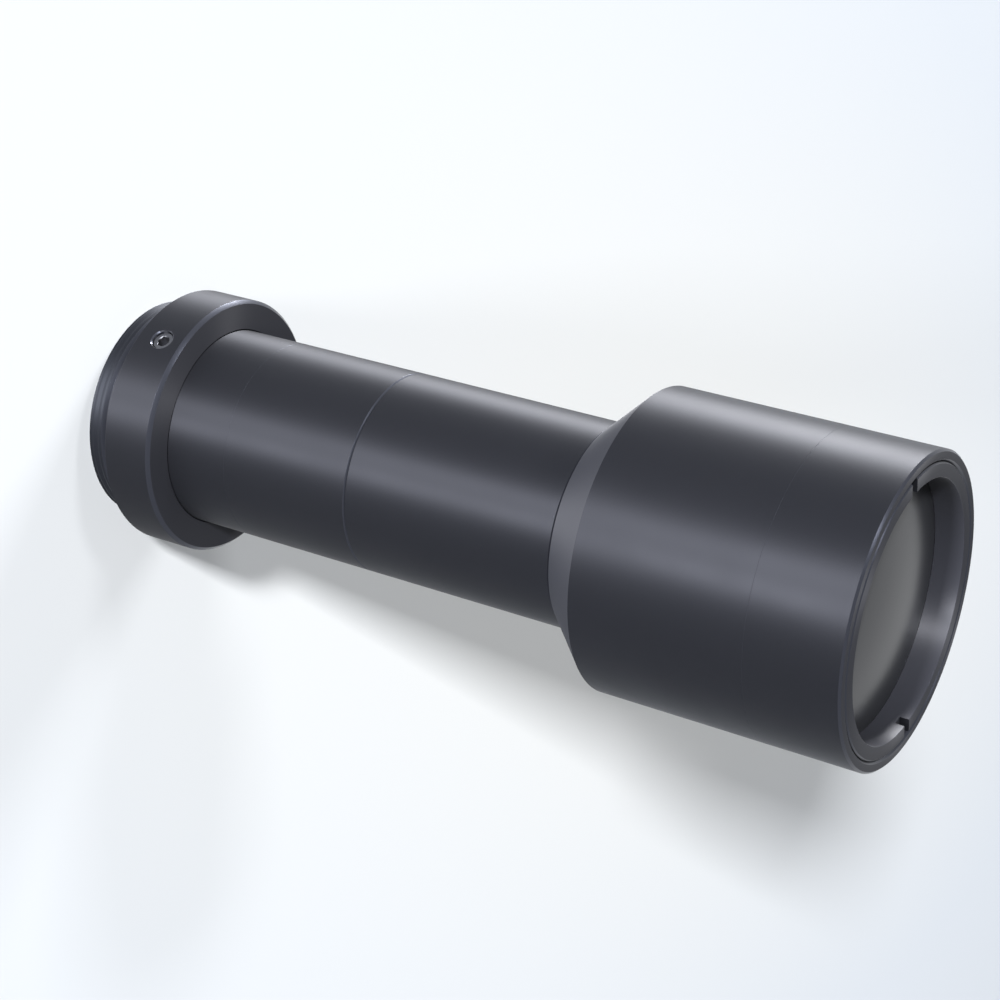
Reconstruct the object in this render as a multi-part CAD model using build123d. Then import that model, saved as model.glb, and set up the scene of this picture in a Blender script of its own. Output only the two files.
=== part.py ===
from build123d import *
import math
import os

# Fixed-magnification C-mount lens. The optical axis is Z, the camera side is down
# and the front glass is up. The origin is on the axis at the camera flange, so
# every height is a distance in front of that flange. Millimetres.

# Camera thread, 1 inch by 32 turns per inch, with a relief behind the flange
thread_diameter = 25.4
stub_length = 4.2
relief_length = 2.0
relief_depth = 0.35
thread_end_chamfer = 0.2
seat_undercut_width = 0.2
seat_undercut_depth = 0.15
light_path_diameter = 18.0

# Clamp collar, in one piece with the thread, and its three set screws
collar_diameter = 29.6
collar_length = 6.2
collar_rear_chamfer = 0.1
collar_front_chamfer = 0.4
collar_mouth_chamfer = 0.35
tube_seat_height = 1.2
screw_count = 3
screw_height = 3.2
screw_diameter = 2.5
screw_length = 3.5
screw_countersink = 0.17
screw_sink = 0.55
screw_edge = 0.2
screw_point_diameter = 1.3
socket_across_flats = 1.3
socket_depth = 1.3
socket_chamfer = 0.1

# Outer barrels
tube_diameter = 22.6
rear_cell_length = 12.7
rear_tube_length = 16.3
front_tube_length = 25.5
cone_length = 5.15
cone_step = 0.25
barrel_diameter = 33.0
barrel_length = 19.15
cap_length = 10.25
tube_chamfer = 0.3
rim_chamfer = 0.25
joint_wall = 1.1
joint_spigot_length = 3.4
cap_joint_wall = 1.2
cap_spigot_length = 3.2
spigot_end_chamfer = 0.25

# Clamp groove round the rear cell
groove_depth = 0.8
groove_floor = 1.6

# Clearances
thread_clearance = 0.04
running_clearance = 0.05
end_clearance = 0.1
glass_clearance = 0.03
cement_thickness = 0.02

# Bores and ledges
joint_spigot_wall = 0.7
rear_cell_extra_wall = 0.7
rear_ledge_height = 2.4
rear_ledge_reach = 1.0
stop_ledge_height = 2.5
stop_ledge_reach = 0.8
relay_seat_drop = 10.4
relay_ledge_reach = 1.0
flare_height = 0.6
cap_spigot_wall = 1.1
field_seat_drop = 13.2
field_ledge_reach = 1.3
front_ledge_reach = 1.0
ring_seat_drop = 0.3

# Front retaining ring, with two spanner slots
rim_wall = 1.3
ring_width = 1.54
ring_thickness = 3.2
ring_edge_chamfer = 0.15
ring_mouth_chamfer = 0.25
slot_width = 1.2
slot_depth = 1.05
slot_angle = -23.0

# Inner retaining rings, spacer, baffles and stop
inner_ring_wall = 1.1
inner_ring_thickness = 1.5
inner_ring_chamfer = 0.1
inner_slot_depth = 0.6
spacer_wall = 0.75
spacer_length = 3.4
baffle_thickness = 1.3
baffle_lip = 0.25
baffle_gap = 6.6
baffle_first_height = 10.0
baffle_apertures = (12.4, 13.8)
stop_thickness = 0.4
stop_aperture = 6.2

# Lenses: radius of curvature of each face, and thickness at the edge
front_glass_overlap = 0.75
objective_front_radius = 51.0
objective_inner_radius = 40.0
objective_rear_radius = 132.0
objective_crown_edge = 1.6
objective_flint_edge = 3.3
field_front_radius = 75.0
field_edge = 2.5
relay_front_radius = 25.0
relay_inner_radius = 20.0
relay_rear_radius = 58.0
relay_crown_edge = 1.3
relay_flint_edge = 2.8
eye_front_radius = 21.5
eye_rear_radius = 33.0
eye_edge = 1.3
tail_front_radius = 26.5
tail_edge = 1.3

# Radii and heights worked out from the sizes above
thread_r = thread_diameter/2
light_r = light_path_diameter/2
collar_r = collar_diameter/2
tube_r = tube_diameter/2
barrel_r = barrel_diameter/2
joint_r = tube_r-joint_wall
tube_bore_r = joint_r-joint_spigot_wall
rear_bore_r = tube_bore_r-rear_cell_extra_wall
cap_spigot_r = barrel_r-cap_joint_wall
field_bore_r = cap_spigot_r-cap_spigot_wall
ring_r = barrel_r-rim_wall
ring_bore_r = ring_r-ring_width
screw_r = screw_diameter/2

cell_rear = tube_seat_height+end_clearance
rear_joint = cell_rear+rear_cell_length
middle_joint = rear_joint+rear_tube_length
front_joint = middle_joint+front_tube_length
cone_top = front_joint+cone_length
cap_joint = cone_top+barrel_length
rim = cap_joint+cap_length


def turned(points):
    """A turned piece: the closed outline (radius, height) revolved about Z."""
    corners = [point for point, last in zip(points, [None, *points]) if point != last]
    outline = Polyline(*[(r, 0, z) for r, z in corners], close=True)
    return revolve(Face(Wire(outline.edges())), Axis.Z)


def washer(outer, inner, low, high, chamfer=0.0):
    """A flat ring whose outer edges are broken by the chamfer."""
    return turned([
        (inner, low), (outer-chamfer, low), (outer, low+chamfer),
        (outer, high-chamfer), (outer-chamfer, high), (inner, high),
    ])


def sag(radius, r):
    """Depth of a spherical face of this radius of curvature, r from the axis."""
    return radius-math.sqrt(radius*radius-r*r)


class Glass:
    """A round lens. Its rim runs from the height low_edge up by its edge thickness.

    Each face bulges upwards if its radius is positive, bulges downwards if it is
    negative, and is flat if it is 0.
    """

    def __init__(self, rim_r, low_edge, edge, low_radius, high_radius):
        self.rim_r = rim_r
        self.low_edge = low_edge
        self.high_edge = low_edge+edge
        self.low_radius = low_radius
        self.high_radius = high_radius

    def rise(self, radius, r):
        """How far a face lies above its own edge, r from the axis."""
        if radius == 0:
            return 0.0
        height = sag(abs(radius), self.rim_r)-sag(abs(radius), r)
        return math.copysign(height, radius)

    def low(self, r):
        return self.low_edge+self.rise(self.low_radius, r)

    def high(self, r):
        return self.high_edge+self.rise(self.high_radius, r)

    def solid(self):
        half = self.rim_r/2
        faces = [
            Line((0, 0, height(0)), (self.rim_r, 0, height(self.rim_r))) if radius == 0
            else ThreePointArc((0, 0, height(0)), (half, 0, height(half)),
                               (self.rim_r, 0, height(self.rim_r)))
            for height, radius in ((self.low, self.low_radius), (self.high, self.high_radius))
        ]
        rim = Line((self.rim_r, 0, self.low_edge), (self.rim_r, 0, self.high_edge))
        axis = Line((0, 0, self.low(0)), (0, 0, self.high(0)))
        outline = Wire([edge for line in (*faces, rim, axis) for edge in line.edges()])
        return revolve(Face(outline), Axis.Z)


def spanner_slots(inner, outer, top, depth):
    """Two slots across the top face of a ring, opposite each other."""
    bar = Box(3*outer, slot_width, 2*depth)
    keep = Cylinder(inner/2, 3*depth)
    return Pos(0, 0, top)*Rot(0, 0, slot_angle)*(bar-keep)


def inner_ring(outer, inner, low):
    """A thin retaining ring with two spanner slots in its upper face."""
    high = low+inner_ring_thickness
    ring = washer(outer, inner, low, high, inner_ring_chamfer)
    return ring-spanner_slots(inner, outer, high, inner_slot_depth)


def screw_angles():
    return [360.0*i/screw_count for i in range(screw_count)]


def along_radius(angle, height):
    """Frame on the axis whose Z runs outwards along a radius."""
    return Pos(0, 0, height)*Rot(0, 0, angle)*Rot(0, 90, 0)


def screw_hole():
    """A tapped hole and its countersink, which just clears the collar's curve."""
    sink_low = collar_r-sag(collar_r, screw_r)-screw_countersink
    sink_height = collar_r-sink_low+screw_countersink
    hole = Pos(0, 0, sink_low/2)*Cylinder(screw_r, sink_low)
    sink = Cone(screw_r, screw_r+sink_height, sink_height,
                align=(Align.CENTER, Align.CENTER, Align.MIN))
    return hole+Pos(0, 0, sink_low)*sink


# Camera side: thread, flange face and clamp collar in one turned piece
def c_mount_ring():
    relief_r = thread_r-relief_depth
    seat_r = thread_r+seat_undercut_width
    bore_r = tube_r+running_clearance
    ring = turned([
        (light_r, -stub_length),
        (thread_r-thread_end_chamfer, -stub_length),
        (thread_r, thread_end_chamfer-stub_length),
        (thread_r, -relief_length-relief_depth),
        (relief_r, -relief_length),
        (relief_r, seat_undercut_depth),
        (seat_r, seat_undercut_depth),
        (seat_r, 0),
        (collar_r-collar_rear_chamfer, 0),
        (collar_r, collar_rear_chamfer),
        (collar_r, collar_length-collar_front_chamfer),
        (collar_r-collar_front_chamfer, collar_length),
        (bore_r+collar_mouth_chamfer, collar_length),
        (bore_r, collar_length-collar_mouth_chamfer),
        (bore_r, tube_seat_height),
        (light_r, tube_seat_height),
    ])
    for angle in screw_angles():
        ring -= along_radius(angle, screw_height)*screw_hole()
    return ring


def set_screw(angle):
    """Headless screw with a hexagon socket and a flat-ended cone point."""
    body_r = screw_r-thread_clearance
    point_r = screw_point_diameter/2
    outer_end = collar_r-screw_sink
    inner_end = outer_end-screw_length
    body = turned([
        (0, inner_end),
        (point_r, inner_end),
        (body_r, inner_end+body_r-point_r),
        (body_r, outer_end-screw_edge),
        (body_r-screw_edge, outer_end),
        (0, outer_end),
    ])
    hexagon = RegularPolygon(socket_across_flats/2, 6, major_radius=False)
    socket = Pos(0, 0, outer_end-socket_depth)*extrude(hexagon, socket_depth+1)
    mouth_r = socket_across_flats/2/math.cos(math.pi/6)
    mouth = Pos(0, 0, outer_end)*Cone(mouth_r-socket_chamfer, mouth_r+socket_chamfer,
                                      2*socket_chamfer)
    return along_radius(angle, screw_height)*(body-socket-mouth)


# Rear cell: clamped in the collar, and holds the two rear lenses
rear_glass_r = rear_bore_r-glass_clearance
spacer_inner_r = rear_glass_r-spacer_wall
rear_ring_inner_r = rear_glass_r-inner_ring_wall
tail = Glass(rear_glass_r, cell_rear+rear_ledge_height, tail_edge, 0, tail_front_radius)
spacer_low = tail.high(spacer_inner_r)
eye_sag = sag(eye_rear_radius, rear_glass_r)-sag(eye_rear_radius, spacer_inner_r)
eye = Glass(rear_glass_r, spacer_low+spacer_length+eye_sag, eye_edge,
            -eye_rear_radius, eye_front_radius)
rear_ring_low = eye.high(rear_ring_inner_r)


def joint_spigot(top):
    """Outline of a male joint, from its shoulder up to its end, at the tube's top."""
    end = top+joint_spigot_length
    return [
        (tube_r, top),
        (joint_r, top),
        (joint_r, end-spigot_end_chamfer),
        (joint_r-spigot_end_chamfer, end),
    ]


def rear_cell():
    ledge_r = rear_bore_r-rear_ledge_reach
    half_floor = groove_floor/2
    half_mouth = half_floor+groove_depth
    return turned([
        (ledge_r, cell_rear),
        (tube_r-spigot_end_chamfer, cell_rear),
        (tube_r, cell_rear+spigot_end_chamfer),
        (tube_r, screw_height-half_mouth),
        (tube_r-groove_depth, screw_height-half_floor),
        (tube_r-groove_depth, screw_height+half_floor),
        (tube_r, screw_height+half_mouth),
        *joint_spigot(rear_joint),
        (rear_bore_r, rear_joint+joint_spigot_length),
        (rear_bore_r, tail.low_edge),
        (ledge_r, tail.low_edge),
    ])


def rear_spacer():
    return washer(rear_glass_r, spacer_inner_r, spacer_low, spacer_low+spacer_length)


# Rear tube, with the relay pair
tube_glass_r = tube_bore_r-glass_clearance
tube_ring_inner_r = tube_glass_r-inner_ring_wall
relay_ledge_r = tube_bore_r-relay_ledge_reach
relay_seat = middle_joint-relay_seat_drop
relay_sag = sag(relay_rear_radius, tube_glass_r)-sag(relay_rear_radius, relay_ledge_r)
flint = Glass(tube_glass_r, relay_seat+relay_sag, relay_flint_edge,
              -relay_rear_radius, -relay_inner_radius)
crown = Glass(tube_glass_r, flint.high_edge+cement_thickness, relay_crown_edge,
              -relay_inner_radius, relay_front_radius)
relay_ring_low = crown.high(tube_ring_inner_r)


def rear_tube():
    socket_r = joint_r+thread_clearance
    socket_top = rear_joint+joint_spigot_length+end_clearance
    front_socket = middle_joint-joint_spigot_length-end_clearance
    return turned([
        (socket_r, rear_joint),
        (tube_r, rear_joint),
        (tube_r, middle_joint-tube_chamfer),
        (tube_r-tube_chamfer, middle_joint),
        (socket_r, middle_joint),
        (socket_r, front_socket),
        (tube_bore_r, front_socket),
        (tube_bore_r, relay_seat),
        (relay_ledge_r, relay_seat),
        (relay_ledge_r, socket_top),
        (socket_r, socket_top),
    ])


# Front tube, with the aperture stop and the baffles
stop_low = middle_joint+stop_ledge_height
stop_high = stop_low+stop_thickness


def front_tube():
    spigot_end = middle_joint-joint_spigot_length
    socket_r = joint_r
    spigot_high = front_joint+joint_spigot_length
    ledge_r = tube_bore_r-stop_ledge_reach
    return turned([
        (ledge_r, spigot_end),
        (joint_r-spigot_end_chamfer, spigot_end),
        (joint_r, spigot_end+spigot_end_chamfer),
        (joint_r, middle_joint),
        (tube_r, middle_joint),
        (tube_r, front_joint-tube_chamfer),
        (tube_r-tube_chamfer, front_joint),
        (socket_r, front_joint),
        (joint_r, spigot_high-spigot_end_chamfer),
        (joint_r-spigot_end_chamfer, spigot_high),
        (tube_bore_r, spigot_high),
        (tube_bore_r, stop_low),
        (ledge_r, stop_low),
    ])


def aperture_stop():
    return washer(tube_glass_r, stop_aperture/2, stop_low, stop_high)


def baffle(index):
    """Blackened ring with a knife edge that stops light off the tube wall."""
    first = stop_high+inner_ring_thickness+baffle_first_height
    low = first+index*(baffle_thickness+baffle_gap)
    high = low+baffle_thickness
    aperture_r = baffle_apertures[index]/2
    return turned([
        (aperture_r, high-baffle_lip),
        (tube_ring_inner_r, low),
        (tube_glass_r, low),
        (tube_glass_r, high),
        (aperture_r, high),
    ])


# Main barrel: the cone and the wide barrel behind the front cap
field_glass_r = field_bore_r-glass_clearance
field_ring_inner_r = field_glass_r-inner_ring_wall
field = Glass(field_glass_r, cap_joint-field_seat_drop, field_edge, 0, field_front_radius)
field_ring_low = field.high(field_ring_inner_r)


def main_barrel():
    socket_r = joint_r+thread_clearance
    socket_top = front_joint+joint_spigot_length+end_clearance
    cap_socket_r = cap_spigot_r+thread_clearance
    cap_socket_low = cap_joint-cap_spigot_length-end_clearance
    ledge_r = field_bore_r-field_ledge_reach
    flare_low = socket_top+flare_height
    flare_high = flare_low+ledge_r-tube_bore_r
    return turned([
        (socket_r, front_joint),
        (tube_r+cone_step, front_joint),
        (barrel_r, cone_top),
        (barrel_r, cap_joint),
        (cap_socket_r, cap_joint),
        (cap_socket_r, cap_socket_low),
        (field_bore_r, cap_socket_low),
        (field_bore_r, field.low_edge),
        (ledge_r, field.low_edge),
        (ledge_r, flare_high),
        (tube_bore_r, flare_low),
        (tube_bore_r, socket_top),
        (socket_r, socket_top),
    ])


# Front cap, with the objective pair and the ring that holds it
front_glass_r = ring_bore_r+front_glass_overlap
front_bore_r = front_glass_r+glass_clearance
front_ledge_r = front_bore_r-front_ledge_reach
ring_low = rim-ring_thickness
objective_sag = sag(objective_front_radius, front_glass_r)-sag(objective_front_radius, ring_bore_r)
objective_crown = Glass(front_glass_r, ring_low-objective_sag-objective_crown_edge,
                        objective_crown_edge, -objective_inner_radius, objective_front_radius)
objective_flint = Glass(
    front_glass_r, objective_crown.low_edge-cement_thickness-objective_flint_edge,
    objective_flint_edge, -objective_rear_radius, -objective_inner_radius)


def front_cap():
    socket_r = ring_r+thread_clearance
    mouth_r = socket_r+ring_mouth_chamfer
    seat = objective_flint.low(front_ledge_r)
    spigot_low = cap_joint-cap_spigot_length
    return turned([
        (front_ledge_r, spigot_low),
        (cap_spigot_r-spigot_end_chamfer, spigot_low),
        (cap_spigot_r, spigot_low+spigot_end_chamfer),
        (cap_spigot_r, cap_joint),
        (barrel_r, cap_joint),
        (barrel_r, rim-rim_chamfer),
        (barrel_r-rim_chamfer, rim),
        (mouth_r, rim),
        (socket_r, rim-ring_mouth_chamfer),
        (socket_r, ring_low-ring_seat_drop),
        (front_bore_r, ring_low-ring_seat_drop),
        (front_bore_r, seat),
        (front_ledge_r, seat),
    ])


def front_retaining_ring():
    ring = washer(ring_r, ring_bore_r, ring_low, rim, ring_edge_chamfer)
    return ring-spanner_slots(ring_bore_r, ring_r, rim, slot_depth)


pieces = {
    "c_mount_ring": c_mount_ring(),
    "rear_cell": rear_cell(),
    "tail_lens": tail.solid(),
    "rear_spacer": rear_spacer(),
    "eye_lens": eye.solid(),
    "rear_retaining_ring": inner_ring(rear_glass_r, rear_ring_inner_r, rear_ring_low),
    "rear_tube": rear_tube(),
    "relay_flint": flint.solid(),
    "relay_crown": crown.solid(),
    "relay_retaining_ring": inner_ring(tube_glass_r, tube_ring_inner_r, relay_ring_low),
    "front_tube": front_tube(),
    "aperture_stop": aperture_stop(),
    "stop_retaining_ring": inner_ring(tube_glass_r, tube_ring_inner_r, stop_high),
    "main_barrel": main_barrel(),
    "field_lens": field.solid(),
    "field_retaining_ring": inner_ring(field_glass_r, field_ring_inner_r, field_ring_low),
    "front_cap": front_cap(),
    "objective_flint": objective_flint.solid(),
    "objective_crown": objective_crown.solid(),
    "front_retaining_ring": front_retaining_ring(),
}
for index, screw_angle in enumerate(screw_angles(), start=1):
    pieces[f"set_screw_{index}"] = set_screw(screw_angle)
for index in range(len(baffle_apertures)):
    pieces[f"tube_baffle_{index+1}"] = baffle(index)

os.makedirs("parts", exist_ok=True)
for name, piece in pieces.items():
    export_step(piece, f"parts/{name}.step")
print(len(pieces), "pieces, flange to rim", round(rim, 2), "mm")
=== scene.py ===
# %% [markdown]
# A C-mount lens, dressed for its portrait. The solids come in as a fixed frame, and every
# piece made here takes its place from them. The real object is turned from aluminium bar
# on a lathe, bead blasted and anodised black, so most pieces are one outline spun about
# the optical axis. Z is that axis, with the camera thread down and the front glass up.
# Lengths are written in millimetres, and MM turns them into Blender's metres.

# %% Load the frame
import math

import bmesh
import bpy
from mathutils import Matrix, Vector


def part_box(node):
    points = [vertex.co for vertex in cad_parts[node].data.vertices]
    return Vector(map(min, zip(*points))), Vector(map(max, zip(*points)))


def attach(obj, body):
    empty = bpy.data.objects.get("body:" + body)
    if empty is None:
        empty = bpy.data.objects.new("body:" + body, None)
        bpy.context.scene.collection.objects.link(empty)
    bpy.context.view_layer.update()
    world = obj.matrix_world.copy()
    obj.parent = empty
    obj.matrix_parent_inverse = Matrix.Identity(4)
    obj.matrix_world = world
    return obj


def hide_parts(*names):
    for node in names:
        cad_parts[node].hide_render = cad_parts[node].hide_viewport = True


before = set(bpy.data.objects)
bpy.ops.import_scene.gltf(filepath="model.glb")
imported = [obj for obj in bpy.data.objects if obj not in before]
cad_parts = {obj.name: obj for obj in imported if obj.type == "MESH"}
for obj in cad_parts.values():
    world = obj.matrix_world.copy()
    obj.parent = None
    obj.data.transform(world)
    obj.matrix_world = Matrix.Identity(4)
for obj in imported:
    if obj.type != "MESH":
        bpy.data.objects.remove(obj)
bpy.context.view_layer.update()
MM = 0.001


# %% [markdown]
# Each node of the frame says where a tube begins and ends and how wide it is. Those numbers
# could be typed in again. They are read instead, so that every piece made here fits the
# frame by itself.

# %% Read each turned piece's extent
def span(node):
    """Lowest height, highest height and outer radius of a node, in millimetres."""
    low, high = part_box(node)
    return low.z/MM, high.z/MM, high.x/MM


thread_end, collar_front, collar_r = span("c_mount_ring")
cell_rear, cell_top, tube_r = span("rear_cell")
rear_joint, middle_joint, _ = span("rear_tube")
_, front_spigot_top, _ = span("front_tube")
front_joint, cap_joint, barrel_r = span("main_barrel")
cap_spigot_low, rim, _ = span("front_cap")
ring_low, _, ring_r = span("front_retaining_ring")
print(f"flange to rim {rim:.2f} mm, barrel {2*barrel_r:.2f} mm, tube {2*tube_r:.2f} mm")

# %% [markdown]
# A turned piece is a closed outline of radius and height. Real machining leaves no knife
# edges, and the small round along each edge is what catches a thin line of light. A Bevel
# modifier could round the finished mesh, but it would have to work on every face. Rounding
# the flat outline before it is spun takes a few points at each corner.

# %% Ease the corners of an outline
EDGE_BREAK = 0.03
NEARLY_STRAIGHT = math.radians(175)
LONGEST_REACH = 0.4
ARC_STEPS = 4


def eased(outline, radius=EDGE_BREAK):
    """The outline with every corner rounded to this radius, or less beside a short side."""
    points = []
    count = len(outline)
    for i in range(count):
        corner = Vector(outline[i])
        back = Vector(outline[i-1])-corner
        ahead = Vector(outline[(i+1) % count])-corner
        turn = back.angle(ahead)
        if turn > NEARLY_STRAIGHT:
            points.append(corner)
            continue
        reach = min(radius/math.tan(turn/2), LONGEST_REACH*back.length,
                    LONGEST_REACH*ahead.length)
        start = corner+back.normalized()*reach
        end = corner+ahead.normalized()*reach
        for step in range(ARC_STEPS+1):
            t = step/ARC_STEPS
            points.append((1-t)**2*start+2*t*(1-t)*corner+t**2*end)
    return points


# %% [markdown]
# A lathe turns the work while the tool stays in one plane. Blender's Screw modifier could
# spin the outline in the same way. Here the rows of points are worked out in code, which
# gives a plain mesh with no seam, ready for a boolean cut. Points on the axis fall together
# and are merged. A wide piece gets more steps, so that a reflection along it shows no flats.

# %% Turn an outline about the axis
TURNS = 288
WIDE_TURNS = 360
MERGE_DISTANCE = 1e-7


def mesh_object(name, vertices, faces):
    """A new object in the scene, made of these points in metres and these faces."""
    mesh = bpy.data.meshes.new(name)
    mesh.from_pydata(vertices, [], faces)
    mesh.update()
    made = bpy.data.objects.new(name, mesh)
    bpy.context.collection.objects.link(made)
    return made


def repair_normals(made):
    """Merges points that fall together and turns every face outwards."""
    work = bmesh.new()
    work.from_mesh(made.data)
    bmesh.ops.remove_doubles(work, verts=work.verts, dist=MERGE_DISTANCE)
    bmesh.ops.recalc_face_normals(work, faces=work.faces)
    work.to_mesh(made.data)
    work.free()


def turned(name, outline, turns=TURNS):
    """A closed outline of (radius, height) in millimetres, spun about Z."""
    vertices = []
    for i in range(turns):
        angle = 2*math.pi*i/turns
        vertices += [(r*math.cos(angle)*MM, r*math.sin(angle)*MM, z*MM) for r, z in outline]
    count = len(outline)
    faces = []
    for i in range(turns):
        here, there = i*count, (i+1) % turns*count
        for j in range(count):
            k = (j+1) % count
            faces.append((here+j, there+j, there+k, here+k))
    made = mesh_object(name, vertices, faces)
    repair_normals(made)
    return made


# %% [markdown]
# A turned surface is truly round, and the mesh has only flat faces. More faces would hide
# that in the end. Smooth shading hides it at once, with edges kept crisp where two faces
# meet at more than a set angle, and normals weighted by face size so that flat ends stay
# flat beside their rounded edges.

# %% Smooth what the lathe left round
SHARP_ANGLE = math.radians(42)


def smooth(made):
    """Smooth shading that stays crisp at sharp edges and flat on flat faces."""
    made.data.shade_smooth()
    made.data.set_sharp_from_angle(angle=SHARP_ANGLE)
    weighted = made.modifiers.new("weighted_normals", "WEIGHTED_NORMAL")
    weighted.keep_sharp = True
    return made


# %% [markdown]
# Every colour is written as the sRGB hex value that an eye dropper would read, and one
# function turns it to the linear light that Blender works in. A material could be wired by
# hand in the shader editor. Here one function adds a node with its settings and its links,
# so that a material reads from top to bottom. A Mix node has several sockets of one name,
# so those are picked by their number.

# %% Colour and node helpers
SHARE = 0
NUMBER_A, NUMBER_B, NUMBER_OUT = 2, 3, 0
COLOUR_A, COLOUR_B, COLOUR_OUT = 6, 7, 2


def linear(hex_colour):
    """sRGB hex to linear RGBA."""
    channels = [int(hex_colour[i:i+2], 16)/255 for i in (1, 3, 5)]
    return tuple(c/12.92 if c <= 0.04045 else ((c+0.055)/1.055)**2.4 for c in channels)+(1.0,)


def add(tree, kind, settings=None):
    """Adds a node. A setting is a property, an input's value, or an output to link to it."""
    node = tree.nodes.new(kind)
    for key, value in (settings or {}).items():
        if isinstance(value, bpy.types.NodeSocket):
            tree.links.new(value, node.inputs[key])
        elif isinstance(key, int) or key in node.inputs:
            node.inputs[key].default_value = value
        else:
            setattr(node, key, value)
    return node


def new_material(name):
    """An empty material, its tree and its output node."""
    made = bpy.data.materials.new(name)
    made.use_nodes = True
    tree = made.node_tree
    tree.nodes.clear()
    return made, tree, tree.nodes.new("ShaderNodeOutputMaterial")


def per_mm(size_mm):
    """Texture scale, in repeats per metre, of a pattern with this size in millimetres."""
    return 1000/size_mm


# %% [markdown]
# The housings are aluminium, turned on a lathe and then blasted with glass beads. The beads
# leave a fine grain that spreads a highlight into a soft streak, and the lathe leaves marks
# that run round the axis. Displacement could give both real depth, at millions of faces.
# Neither shows at the outline, so a bump does as well: the grain is noise in space, and the
# marks are noise along radius plus height alone. The real ones are finer, and both are
# drawn as coarse as they need to be to show.

# %% Grain and tool marks
GRAIN_MM = 0.16
GRAIN_ROUGHNESS = 0.6
TOOL_MARK_MM = 0.22


def blasted_and_turned(tree, place, flat, height_on_axis, grain_height, mark_height):
    """Normal of a blasted and turned surface, with both heights in millimetres."""
    grain = add(tree, "ShaderNodeTexNoise",
                {"Scale": per_mm(GRAIN_MM), "Detail": 2.0, "Roughness": GRAIN_ROUGHNESS,
                 "Vector": place})
    radius = add(tree, "ShaderNodeVectorMath", {"operation": "LENGTH", 0: flat})
    along = add(tree, "ShaderNodeMath",
                {"operation": "ADD", 0: radius.outputs["Value"], 1: height_on_axis})
    marks = add(tree, "ShaderNodeTexNoise",
                {"noise_dimensions": "1D", "Scale": per_mm(TOOL_MARK_MM), "Detail": 3.0,
                 "W": along.outputs[0]})
    bumps = add(tree, "ShaderNodeBump",
                {"Strength": 1.0, "Distance": grain_height*MM, "Height": grain.outputs["Fac"]})
    bumps = add(tree, "ShaderNodeBump",
                {"Strength": 1.0, "Distance": mark_height*MM, "Height": marks.outputs["Fac"],
                 "Normal": bumps.outputs["Normal"]})
    return bumps.outputs["Normal"]


# %% [markdown]
# Faced ends, tapers and bores catch the beads at a slant and come out duller. Chamfers are
# cut in one plunge with a polished tool, so they are smoother. They are also painted
# lighter, which is a painted highlight along the edges that face forward. Each could have a
# material slot of its own. But the way a surface faces tells them apart already, so one
# material serves every housing: the normal points up on a face, half up on a chamfer, down
# on a taper, and towards the axis in a bore.

# %% Tell faces, tapers, bores and chamfers apart
FACE_ABOVE = 0.95
TAPER_BELOW = -0.5
CHAMFER_FACING = 0.7
CHAMFER_BAND = 0.2
INWARD_BELOW = -0.4
LIGHT_R = 9.0


def ways_of_facing(tree, flat):
    """Where the surface is a faced end or taper, where one of these or a bore, and where
    a chamfer. Flat is the place without its height."""
    facing = add(tree, "ShaderNodeTexCoord").outputs["Normal"]
    upward = add(tree, "ShaderNodeSeparateXYZ", {"Vector": facing}).outputs["Z"]
    outward = add(tree, "ShaderNodeVectorMath", {"operation": "DOT_PRODUCT", 0: flat, 1: facing})
    face = add(tree, "ShaderNodeMath", {"operation": "GREATER_THAN", 0: upward, 1: FACE_ABOVE})
    taper = add(tree, "ShaderNodeMath", {"operation": "LESS_THAN", 0: upward, 1: TAPER_BELOW})
    bore = add(tree, "ShaderNodeMath",
               {"operation": "LESS_THAN", 0: outward.outputs["Value"],
                1: INWARD_BELOW*LIGHT_R*MM})
    slanted = add(tree, "ShaderNodeMath",
                  {"operation": "MAXIMUM", 0: face.outputs[0], 1: taper.outputs[0]})
    dull = add(tree, "ShaderNodeMath",
               {"operation": "MAXIMUM", 0: slanted.outputs[0], 1: bore.outputs[0]})
    chamfer = add(tree, "ShaderNodeMath",
                  {"operation": "COMPARE", 0: upward, 1: CHAMFER_FACING, 2: CHAMFER_BAND})
    return slanted.outputs[0], dull.outputs[0], chamfer.outputs[0]


# %% [markdown]
# Anodising leaves a hard clear oxide on the metal, with black dye in its pores. It reads as
# dark blue-grey metal and never as paint, and its gloss varies in wide faint clouds. Black
# plastic could imitate it, but its highlights are white and small. So the surface is mostly
# metal, with a weak gloss on top. The finest grooves of the lathe are too small to see one
# by one. They spread light across themselves, so the gloss is stretched at right angles to
# them: that draws the long streaks along the tubes and the bow tie of light on a faced end.
# A chamfer is polished, and its gloss isn't stretched.

# %% Black anodised aluminium
CLOUD_MM = 9.0
CLOUD_LOW, CLOUD_HIGH = 0.3, 0.7
CLOUD_SPREAD = 0.025
QUARTER_TURN = 0.25
METAL_SHARE = 0.74
OXIDE_GLOSS = 0.25
DULL_COLOUR = "#2c2d33"
DULL_METAL_SHARE = 0.3
SLANTED_ROUGHNESS = 0.7
# The chamfer colour is lighter than the housing's: a painted highlight along forward edges.
CHAMFER_HIGHLIGHT_COLOUR = "#383a42"
CHAMFER_FINISH = {"Metallic": 0.92, "Roughness": 0.30, "Anisotropic": 0.0}


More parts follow.
